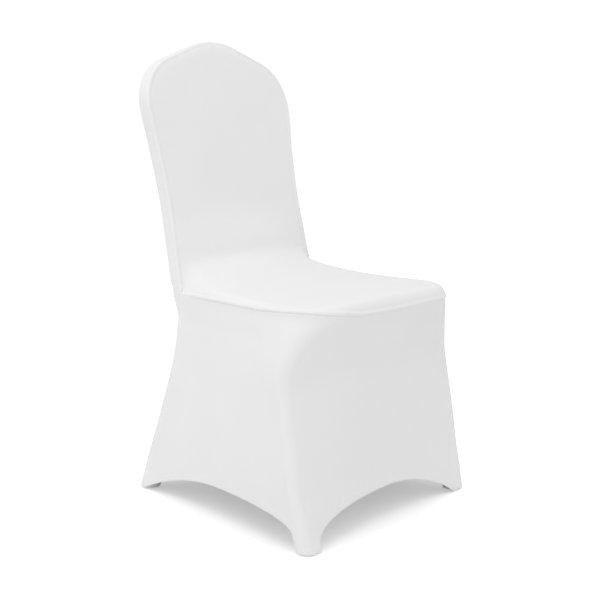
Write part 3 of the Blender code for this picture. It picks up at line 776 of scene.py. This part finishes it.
def whole_mesh(cloth):
    """The normals of all the pieces welded as one, and how much further to go out at a fold."""
    mesh = bpy.data.meshes.new("whole")
    mesh.from_pydata(cloth.points, [], [face for faces in cloth.faces.values() for face in faces])
    normals = np.zeros(3 * len(mesh.vertices), dtype=np.float32)
    mesh.vertex_normals.foreach_get("vector", normals)
    normals = normals.reshape(-1, 3).astype(float)
    facing = np.array([polygon.normal for polygon in mesh.polygons])
    owner = np.array([polygon.index for polygon in mesh.polygons for _ in polygon.vertices])
    vertex = np.array([index for polygon in mesh.polygons for index in polygon.vertices])
    worst = np.ones(len(normals))
    np.minimum.at(worst, vertex, np.abs(np.einsum("ij,ij->i", facing[owner], normals[vertex])))
    bpy.data.meshes.remove(mesh)
    return normals, 1.0 / np.maximum(worst, SHARPEST_FOLD)


def nearest_way(points, line):
    """How far each point is from the nearest point of a polyline."""
    best = np.full(len(points), np.inf)
    for start, end in zip(line, line[1:]):
        step = end - start
        share = np.clip(((points - start) @ step) / max(step @ step, 1e-12), 0.0, 1.0)
        best = np.minimum(best, np.linalg.norm(points - start - share[:, None] * step, axis=1))
    return best


def rim_chains(rim):
    """The edges of a rim, joined into chains of vertices."""
    follow = dict(rim)
    starts = [one for one in follow if one not in set(follow.values())]
    chains = []
    while follow:
        start = next((one for one in starts if one in follow), next(iter(follow)))
        chain = [start]
        while chain[-1] in follow:
            chain.append(follow.pop(chain[-1]))
        chains.append(chain)
    return chains


def math_node(nodes, links, operation, *values):
    """A math node's output, from sockets that are linked and numbers that are set."""
    node = nodes.new("ShaderNodeMath")
    node.operation = operation
    for socket, value in zip(node.inputs, values):
        if isinstance(value, bpy.types.NodeSocket):
            links.new(value, socket)
        else:
            socket.default_value = value
    return node.outputs[0]


def knit_material(name, shade, wale=WALE, depth=RELIEF_DEPTH):
    """White knit: rows of loops as a fine relief, faintly uneven in shade, with polyester's soft sheen."""
    material = bpy.data.materials.new(name)
    material.use_nodes = True
    nodes, links = material.node_tree.nodes, material.node_tree.links
    shader = nodes["Principled BSDF"]
    shader.inputs["Roughness"].default_value = KNIT_ROUGHNESS
    shader.inputs["Sheen Weight"].default_value = KNIT_SHEEN
    shader.inputs["Sheen Roughness"].default_value = KNIT_SHEEN_ROUGHNESS
    shader.inputs["Specular IOR Level"].default_value = KNIT_SPECULAR

    def math(operation, *values):
        return math_node(nodes, links, operation, *values)

    place = nodes.new("ShaderNodeUVMap")
    place.uv_map = "cut"
    split = nodes.new("ShaderNodeSeparateXYZ")
    links.new(place.outputs["UV"], split.inputs[0])
    row_wave = math("SINE", math("MULTIPLY", split.outputs["Y"], 2 * pi / (wale * COURSE_SHARE)))
    across = math("MULTIPLY", split.outputs["X"], 2 * pi / wale)
    loop_wave = math("SINE", math("ADD", across, math("MULTIPLY", row_wave, LOOP_SWING)))
    relief = nodes.new("ShaderNodeBump")
    relief.inputs["Strength"].default_value = RELIEF_STRENGTH
    relief.inputs["Distance"].default_value = depth
    links.new(math("MULTIPLY_ADD", row_wave, COURSE_RISE, loop_wave), relief.inputs["Height"])
    links.new(relief.outputs["Normal"], shader.inputs["Normal"])

    where = nodes.new("ShaderNodeTexCoord")
    blotch = nodes.new("ShaderNodeTexNoise")
    blotch.inputs["Scale"].default_value = BLOTCH_SCALE
    blotch.inputs["Detail"].default_value = BLOTCH_DETAIL
    links.new(where.outputs["Object"], blotch.inputs["Vector"])
    uneven = math("SUBTRACT", blotch.outputs["Fac"], 0.5)
    value = math("MULTIPLY_ADD", uneven, BLOTCH_SHARE, shade)
    value = math("MULTIPLY_ADD", loop_wave, LOOP_SHARE, value)
    colour = nodes.new("ShaderNodeCombineColor")
    for channel in ("Red", "Green", "Blue"):
        links.new(value, colour.inputs[channel])
    links.new(colour.outputs[0], shader.inputs["Base Color"])
    return material


def add_piece(name, points, faces, material, cut):
    """A piece of the cover, with its points' places on the cut cloth as its UV map."""
    mesh = bpy.data.meshes.new(name)
    mesh.from_pydata((np.array(points) - MIDDLE).tolist(), [], faces)
    layer = mesh.uv_layers.new(name="cut")
    vertex = np.zeros(len(mesh.loops), dtype=np.int32)
    mesh.loops.foreach_get("vertex_index", vertex)
    layer.data.foreach_set("uv", np.asarray(cut, dtype=np.float32)[vertex].ravel())
    mesh.shade_smooth()
    mesh.set_sharp_from_angle(angle=SHARP_ANGLE)
    mesh.materials.append(material)
    piece = bpy.data.objects.new(name, mesh)
    bpy.context.scene.collection.objects.link(piece)
    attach(piece, "root")
    return piece


def build_sheet(cloth, normals, stretch, name, material):
    """One piece of knit with its outer face where the CAD piece has it, its hem folded, its seams dipped."""
    faces = cloth.faces[name]
    used = sorted({index for face in faces for index in face})
    place = {index: k for k, index in enumerate(used)}
    edges = {}
    for face in faces:
        for one, two in zip(face, face[1:] + face[:1]):
            edges[(one, two)] = face
    rim = [edge for edge in edges if (edge[1], edge[0]) not in edges]
    others = [rows for other, rows in cloth.faces.items() if other != name]
    shared = {index for rows in others for face in rows for index in face}
    hem = [edge for edge in rim if not (edge[0] in shared and edge[1] in shared)]
    base = np.array(cloth.points)[used]
    facing = normals[used]
    low = base[:, 2] < HEM_LIMIT
    gap = np.full(len(used), np.inf)
    chains = rim_chains(hem)
    for chain in chains:
        line = np.array([cloth.points[index] for index in chain])
        gap[low] = np.minimum(gap[low], nearest_way(base[low], line))
    folded = smooth_step((HEM_WIDTH - gap) / HEM_STEP)
    rounding = HEM_EDGE_ROUNDING * (1 - smooth_step(gap / HEM_EDGE_WIDTH))
    raised = np.array([cloth.raised.get(index, 0.0) for index in used])
    raised += HEM_RAISE * folded - rounding
    seam = np.array([index in shared for index in used])
    raised[seam] -= SEAM_DIP
    uneven = np.array([noise.noise(Vector(point) / UNEVEN_SPAN) for point in base]) * UNEVENNESS
    shift = np.array([cloth.moved.get(index, 0.0) for index in used]) + uneven
    middle = CLOTH * stretch[used] + shift
    outer = base + facing * (middle + raised)[:, None]
    inner = base + facing * (middle - KNIT - HEM_FOLD * folded + rounding)[:, None]
    count = len(used)
    solid = [[place[index] for index in face] for face in faces]
    solid += [[place[index] + count for index in reversed(face)] for face in faces]
    for one, two in rim:
        solid.append([place[two], place[one], place[one] + count, place[two] + count])
    cut = np.array([cloth.cut[name][index] for index in used])
    piece = add_piece(name + "_knit", np.vstack((outer, inner)), solid, material, np.vstack((cut, cut)))
    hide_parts(name)
    lines = []
    for chain in chains:
        at = [place[index] for index in chain]
        lines.append((outer[at], facing[at]))
    return piece, lines


def stitch_hem(name, piece, lines, material):
    """Two rows of stitches along a hem, half sunk in the knit."""
    vertices = [vertex.co[:] for vertex in piece.data.vertices]
    tree = BVHTree.FromPolygons(vertices, [polygon.vertices[:] for polygon in piece.data.polygons])
    points, faces = [], []
    for line, facing in lines:
        way = way_along(line)
        for row, distance in enumerate(STITCH_ROWS):
            first = STITCH_PITCH * (1 + 0.5 * row)
            for mark in np.arange(first, way[-1] - STITCH_PITCH, STITCH_PITCH):
                at, ahead = [along_line(way, line, place) for place in (mark, mark + STEP_AHEAD)]
                normal = unit(along_line(way, facing, mark))
                forward = unit(ahead - at)
                inward = unit(np.cross(forward, normal))
                if inward[2] < 0:
                    inward = -inward
                target = at + inward * distance - MIDDLE
                found, surface, _, _ = tree.find_nearest(Vector(target + normal * KNIT))
                add_stitch(points, faces, np.array(found) + MIDDLE, forward, np.array(surface))
    return add_piece(name, points, faces, material, np.array(points)[:, (0, 2)])


def along_line(way, values, place):
    """Values at a place along a line whose points lie at the given ways."""
    return np.array([np.interp(place, way, values[:, axis]) for axis in range(3)])


def add_stitch(points, faces, centre, forward, surface):
    """One stitch on the surface: rings of thread whose ends sink into the knit."""
    side = unit(np.cross(surface, forward))
    start = len(points)
    for step, size in STITCH_RINGS:
        sunk = surface * THREAD_RADIUS * STITCH_SINK * abs(2 * step) ** 3
        ring = centre + forward * step * STITCH_LENGTH - sunk
        for angle in np.linspace(0, 2 * pi, THREAD_SIDES, endpoint=False):
            points.append(ring + THREAD_RADIUS * size * (side * cos(angle) + surface * sin(angle)))
    faces += tube_faces(start, len(STITCH_RINGS), THREAD_SIDES)


def tube_faces(start, rings, sides):
    """Faces of a closed tube of rings, with a flat face at each end."""
    faces = [[start + k for k in reversed(range(sides))]]
    for base in range(start, start + (rings - 1) * sides, sides):
        for k in range(sides):
            n = (k + 1) % sides
            faces.append([base + k, base + n, base + sides + n, base + sides + k])
    last = start + (rings - 1) * sides
    faces.append([last + k for k in range(sides)])
    return faces


def build_pocket(name, side, corner, material):
    """A closed pocket in a corner of the hem: a soft-edged sole and a wall that follows the skirt inside."""
    inside = POCKET_CLEARANCE + POCKET_CLOTH
    outside_z, inside_z = [np.linspace(low, POCKET_Z - POCKET_RIM, POCKET_WALL_ROWS) for low in POCKET_WALL_Z]
    rows = [(inset, 0.0) for inset in SOLE_OUTSIDE]
    rows += [(inset + POCKET_CLEARANCE, z) for inset, z in SOLE_EDGE]
    rows += [(POCKET_CLEARANCE, z) for z in outside_z]
    rows += [(POCKET_CLEARANCE + POCKET_CLOTH / 2, POCKET_Z)]
    rows += [(inside, z) for z in inside_z[::-1]]
    rows += [(inset + inside, z + POCKET_CLOTH) for inset, z in SOLE_EDGE[::-1][1:]]
    rows += [(inset, POCKET_CLOTH) for inset in SOLE_INSIDE]
    ways = way_along(np.array(rows))
    points, cut = [], []
    for (inset, z), way in zip(rows, ways):
        level = section(z)
        x, y = level[corner]
        radius = max(level[corner + "_r"] - inset, SOLE_MIDDLE_RADIUS)
        for k in range(POCKET_SIDES):
            angle = 2 * pi * (k + 0.5) / POCKET_SIDES
            points.append((x * side + radius * cos(angle), y + radius * sin(angle), z))
            cut.append((POCKET_CUT_RADIUS * angle, way))
    faces = tube_faces(0, len(rows), POCKET_SIDES)
    piece = add_piece(name + "_knit", points, faces, material, cut)
    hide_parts(name)
    return piece


def build_cover():
    """All the cover's pieces: the knit sheets, with the stitches of their hems, and the foot pockets."""
    cloth = build_surface()
    normals, stretch = whole_mesh(cloth)
    white = {name: knit_material(name + "_white_knit", shade) for name, shade in SHEET_SHADES.items()}
    thread = knit_material("white_thread", THREAD_SHADE, THREAD_WALE, THREAD_DEPTH)
    for name, (width, length) in SHEET_CUTS.items():
        piece, lines = build_sheet(cloth, normals, stretch, name, white[name])
        if lines:
            stitch_hem(name + "_hem_stitches", piece, lines, thread)
    doubled = knit_material("foot_pocket_white_knit", POCKET_SHADE)
    for name, side, corner in POCKETS:
        piece = build_pocket(name, side, corner, doubled)


def build_floor():
    """A white floor, which the camera sees a little brighter than its light makes it."""
    mesh = bpy.data.meshes.new("studio_floor")
    corners = [(x, y, FLOOR_Z) for x in (-FLOOR_REACH, FLOOR_REACH) for y in (-FLOOR_REACH, FLOOR_REACH)]
    mesh.from_pydata(corners, [], [(0, 2, 3, 1)])
    floor = bpy.data.objects.new("studio_floor", mesh)
    bpy.context.scene.collection.objects.link(floor)
    material = bpy.data.materials.new("studio_floor_white")
    material.use_nodes = True
    nodes, links = material.node_tree.nodes, material.node_tree.links
    shader = nodes["Principled BSDF"]
    shader.inputs["Base Color"].default_value = (FLOOR_SHADE, FLOOR_SHADE, FLOOR_SHADE, 1.0)
    shader.inputs["Roughness"].default_value = FLOOR_ROUGHNESS
    shader.inputs["Specular IOR Level"].default_value = FLOOR_SPECULAR
    glow, both = nodes.new("ShaderNodeEmission"), nodes.new("ShaderNodeAddShader")
    seen = nodes.new("ShaderNodeLightPath").outputs["Is Camera Ray"]
    links.new(math_node(nodes, links, "MULTIPLY", seen, FLOOR_GLOW), glow.inputs["Strength"])
    links.new(shader.outputs[0], both.inputs[0])
    links.new(glow.outputs[0], both.inputs[1])
    links.new(both.outputs[0], nodes["Material Output"].inputs["Surface"])
    mesh.materials.append(material)


def build_light():
    """Soft daylight, stronger from the left and from above, a large soft lamp, and a plain white backdrop."""
    world = bpy.data.worlds.new("studio")
    world.use_nodes = True
    nodes, links = world.node_tree.nodes, world.node_tree.links
    place = nodes.new("ShaderNodeTexCoord")
    split = nodes.new("ShaderNodeSeparateXYZ")
    links.new(place.outputs["Generated"], split.inputs[0])
    level = math_node(nodes, links, "MULTIPLY_ADD", split.outputs["X"], -DAYLIGHT_LEFT, DAYLIGHT)
    level = math_node(nodes, links, "MULTIPLY_ADD", split.outputs["Z"], DAYLIGHT_ABOVE, level)
    soft, seen = nodes["Background"], nodes.new("ShaderNodeBackground")
    soft.inputs["Color"].default_value = WHITE
    links.new(level, soft.inputs["Strength"])
    seen.inputs["Color"].default_value = WHITE
    seen.inputs["Strength"].default_value = BACKDROP
    ray, mix = nodes.new("ShaderNodeLightPath"), nodes.new("ShaderNodeMixShader")
    links.new(ray.outputs["Is Camera Ray"], mix.inputs["Fac"])
    links.new(soft.outputs[0], mix.inputs[1])
    links.new(seen.outputs[0], mix.inputs[2])
    links.new(mix.outputs[0], nodes["World Output"].inputs["Surface"])
    bpy.context.scene.world = world

    lamp = bpy.data.lights.new("soft_overhead", "AREA")
    lamp.shape = "RECTANGLE"
    lamp.size, lamp.size_y = LAMP_SIZE
    lamp.energy = LAMP_WATTS
    item = bpy.data.objects.new("soft_overhead", lamp)
    item.location = LAMP_PLACE
    item.rotation_euler = (Vector(LAMP_AIM) - item.location).to_track_quat("-Z", "Y").to_euler()
    bpy.context.scene.collection.objects.link(item)


def build_camera():
    """The view of the photograph."""
    camera = bpy.data.cameras.new("photo_view")
    camera.lens = CAMERA_LENS
    camera.sensor_width = CAMERA_SENSOR
    item = bpy.data.objects.new("photo_view", camera)
    level = cos(CAMERA_PITCH)
    forward = Vector((sin(CAMERA_YAW) * level, cos(CAMERA_YAW) * level, -sin(CAMERA_PITCH)))
    item.location = CAMERA_PLACE
    item.rotation_euler = forward.to_track_quat("-Z", "Y").to_euler()
    bpy.context.scene.collection.objects.link(item)
    bpy.context.scene.camera = item
    bpy.context.scene.view_settings.view_transform = "Standard"


build_cover()
build_floor()
build_light()
build_camera()
